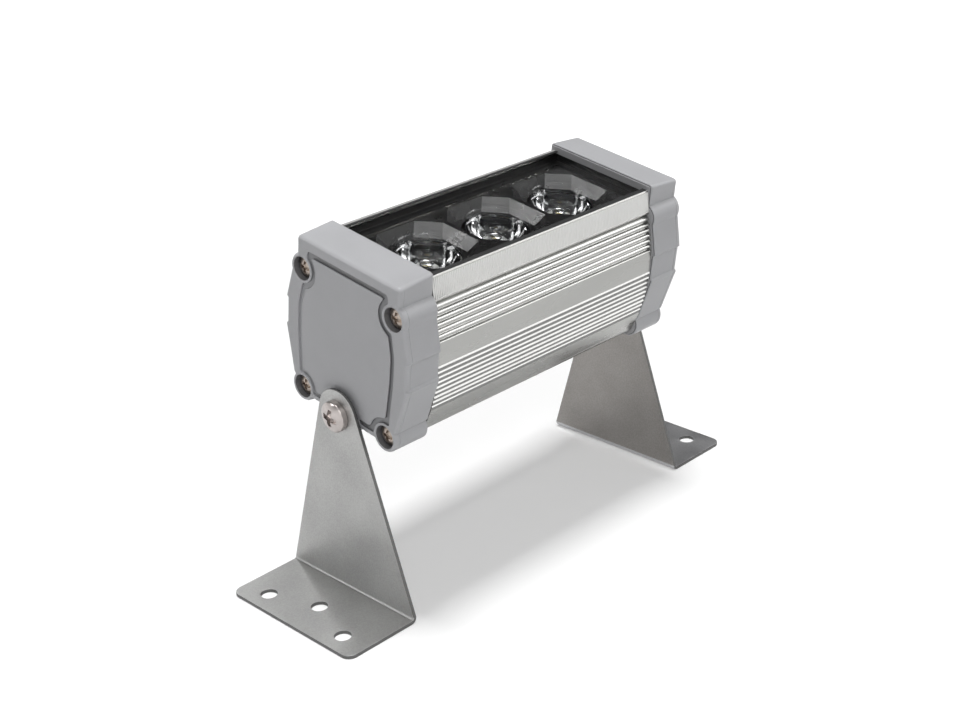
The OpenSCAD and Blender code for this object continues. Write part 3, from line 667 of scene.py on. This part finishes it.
# Front glass: a clear tempered pane let into the top of the profile, nearly transparent, so that the lamps
# light what lies under it. Its ground edges and a border on its underside are black enamel.
glass_round = 0.0003
border_width = 0.004
pane_index = 1.2
pane_cover = 0.1
glass = finish("clear_glass", (0.96, 0.98, 0.98), 0.02, grain=0.002, depth=0.0000003, mottle=0.01)
shader = glass.node_tree.nodes["Principled BSDF"]
shader.inputs["Transmission Weight"].default_value = 1.0
shader.inputs["IOR"].default_value = pane_index
shader.inputs["Alpha"].default_value = pane_cover
enamel = finish("black_enamel", (0.004, 0.004, 0.004), 0.3, grain=0.0005, depth=0.000002)
pane = bare("front_glass", lean)
pane_low = min(v.co.z for v in pane.verts)
edge_top = max(v.co.z for v in pane.verts) - glass_round
rounded(pane, glass_round)
underside = [f for f in pane.faces if f.normal.z < 0 and abs(f.calc_center_median().z - pane_low) < same_plane]
border = bmesh.ops.inset_region(pane, faces=underside, thickness=border_width)["faces"]
pane_finishes = [glass, enamel]
for face in pane.faces:
    ground = abs(face.normal.z) < cos(flat_angle) and face.calc_center_median().z < edge_top
    if face in border or ground:
        face.material_index = pane_finishes.index(enamel)
piece("glass_pane", pane, "head", pane_finishes, ["front_glass"], lean)

# Lens bezel: one moulding of black plastic under the glass, with a flared, eight-sided cell round each lens.
# The cells' smooth walls catch the light.
bezel_black = finish("bezel_black", (0.006, 0.006, 0.006), 0.28, grain=0.0003, depth=0.0000004)
bezel = bare("lens_bezel", lean, whole_faces=False)
piece("bezel", bezel, "head", [bezel_black], ["lens_bezel"], lean)

# Lenses and holders: clear acrylic collimators, each standing in a black cup over its light source. A lens is
# turned from its outline: the domed pocket over the source, the flared body, the rim and the sunken face.
acrylic_index = 1.49
lens_clear = finish("clear_lens", (0.97, 0.98, 0.99), 0.03, grain=0.001, depth=0.000001, mottle=0.01)
shader = lens_clear.node_tree.nodes["Principled BSDF"]
shader.inputs["Transmission Weight"].default_value = 1.0
shader.inputs["IOR"].default_value = acrylic_index
holder_black = finish("holder_black", (0.025, 0.025, 0.027), 0.4, grain=0.0004)
source_yellow = finish("source_phosphor", (0.9, 0.72, 0.2), 0.25, grain=0.0003)
lens_rim_r = 0.0122
lens_body_r = 0.011
lens_foot_r = 0.0044
lens_rim_t = 0.0012
pocket_r = 0.0026
pocket_h = 0.0045
dome_h = 0.0008
rim_ease = 0.0004
face_r = 0.0112
face_drop = 0.0004
cone_steps = 12
turn_steps = 96


def turned(outline):
    """A solid of revolution about Z whose outline, a list of (radius, height), starts and ends on the axis."""
    solid = bmesh.new()
    points = [solid.verts.new((radius, 0, height)) for radius, height in outline]
    edges = [solid.edges.new(pair) for pair in zip(points, points[1:])]
    bmesh.ops.spin(
        solid, geom=points + edges, cent=(0, 0, 0), axis=(0, 0, 1), angle=2 * pi, steps=turn_steps,
        use_merge=True, use_duplicate=False)
    bmesh.ops.remove_doubles(solid, verts=solid.verts, dist=merge_distance)
    bmesh.ops.recalc_face_normals(solid, faces=solid.faces)
    return solid


for number in ("1", "2", "3"):
    moulding = bare("lens_" + number, lean)
    foot_z, top_z = (pick(v.co.z for v in moulding.verts) for pick in (min, max))
    middle_x = (min(v.co.x for v in moulding.verts) + max(v.co.x for v in moulding.verts)) / 2
    moulding.free()
    body_h = top_z - foot_z - lens_rim_t
    pocket = [
        (pocket_r * sin(share * pi / 2), pocket_h - dome_h * (1 - cos(share * pi / 2)))
        for share in (step / arc_steps for step in range(arc_steps + 1))]
    cone = [
        (lens_foot_r + (lens_body_r - lens_foot_r) * share ** 0.5, body_h * share)
        for share in (step / cone_steps for step in range(cone_steps + 1))]
    rim_top = top_z - foot_z
    rim_outline = [
        (lens_rim_r, body_h), (lens_rim_r, rim_top - rim_ease), (lens_rim_r - rim_ease, rim_top),
        (face_r + rim_ease, rim_top), (face_r, rim_top - face_drop), (0, rim_top - face_drop)]
    lens = turned(pocket + [(pocket_r, 0)] + cone + rim_outline)
    bmesh.ops.translate(lens, verts=lens.verts, vec=(middle_x, 0, foot_z))
    piece("collimator_" + number, lens, "head", [lens_clear], ["lens_" + number], lean)
    dress("lens_holder_" + number, holder_black)
    dress("led_" + number, source_yellow)

# Boards and driver: the light board on its thermal pad, and the driver board with its parts and leads. They
# are hidden inside the profile, each in the finish of the real part.
inside = {
    "led_board": ("white_mask", (0.8, 0.8, 0.78), 0.5),
    "thermal_pad": ("thermal_rubber", (0.3, 0.35, 0.4), 0.8),
    "driver_board": ("green_mask", (0.02, 0.12, 0.05), 0.4),
    "driver_coil": ("coil_black", (0.03, 0.03, 0.035), 0.5),
    "driver_capacitors": ("capacitor_sleeve", (0.02, 0.025, 0.08), 0.3),
    "driver_chip": ("chip_black", (0.015, 0.015, 0.015), 0.45),
    "terminal_block": ("terminal_green", (0.03, 0.2, 0.1), 0.4),
    "led_leads": ("lead_red", (0.45, 0.02, 0.02), 0.4),
}
for node, (name, colour, roughness) in inside.items():
    dress(node, finish(name, colour, roughness))

# Brackets: stainless sheet, cut, folded once and deburred, with the mill's fine grain still on it. The cut
# edges are darker. The far (right) bracket's sheet is painted darker and warmer, as the head's shade, and
# its foot is painted lighter, a painted reflection; the near (left) foot keeps the sheet's colour.
sheet_round = 0.00025
sheet_t = 0.0015
bend_top = 0.005
sheet_edge = finish("cut_sheet_edge", (0.13, 0.13, 0.128), 0.5, metallic=1.0, grain=0.0004)
# The right sheet's tone is painted shade, and the right foot's tone is a painted reflection.
for side, tone, foot_tone_and_painted_light in (
        ("left", (0.37, 0.37, 0.365), (0.37, 0.37, 0.365)),
        ("right", (0.28, 0.268, 0.256), (0.5, 0.5, 0.51))):
    stainless = finish(
        side + "_stainless_sheet", tone, 0.42, metallic=1.0, grain=0.0006, depth=0.00003, mottle=0.2)
    # The foot's copy: for the right bracket a lighter colour, a painted reflection.
    stainless_foot = finish(
        side + "_stainless_foot", foot_tone_and_painted_light, 0.42, metallic=1.0, grain=0.0006, depth=0.00003, mottle=0.16)
    sheet_finishes = [stainless, sheet_edge, stainless_foot]
    bracket = bare(side + "_bracket")
    rounded(bracket, sheet_round)
    for face in bracket.faces:
        height_up = face.calc_center_median().z
        foot_edge = height_up < sheet_t and abs(face.normal.z) < sin(sharp_angle)
        upright_edge = height_up > bend_top and abs(face.normal.x) < sin(sharp_angle)
        if foot_edge or upright_edge:
            face.material_index = sheet_finishes.index(sheet_edge)
        elif height_up < bend_top:
            face.material_index = sheet_finishes.index(stainless_foot)
    piece(
        side + "_bracket_sheet", bracket, side + "_foot", sheet_finishes,
        [side + "_bracket"])

# Pivot screws and washers: bright stainless M6 pan heads with a cross recess, driven into the caps' bosses.
# They clamp the brackets over black nylon washers.
pivot_round = 0.00025
pivot_steel = finish(
    "pivot_steel", (0.43, 0.395, 0.38), 0.28, metallic=1.0, grain=0.0008, depth=0.000005, mottle=0.08)
washer_nylon = finish("washer_nylon", (0.02, 0.02, 0.02), 0.5)
for side in ("left", "right"):
    screw = bare(side + "_pivot_screw", lean)
    rounded(screw, pivot_round)
    piece(side + "_pivot", screw, "head", [pivot_steel], [side + "_pivot_screw"], lean)
    dress(side + "_pivot_washer", washer_nylon)

# Cable gland: a dark grey nylon body screwed into the far cap, and the dome nut that presses its rubber seal
# round the cable.
gland_grey = finish("gland_nylon", (0.05, 0.05, 0.052), 0.45, grain=0.0004, depth=0.00001)
for node in ("gland_body", "gland_nut"):
    dress(node, gland_grey)
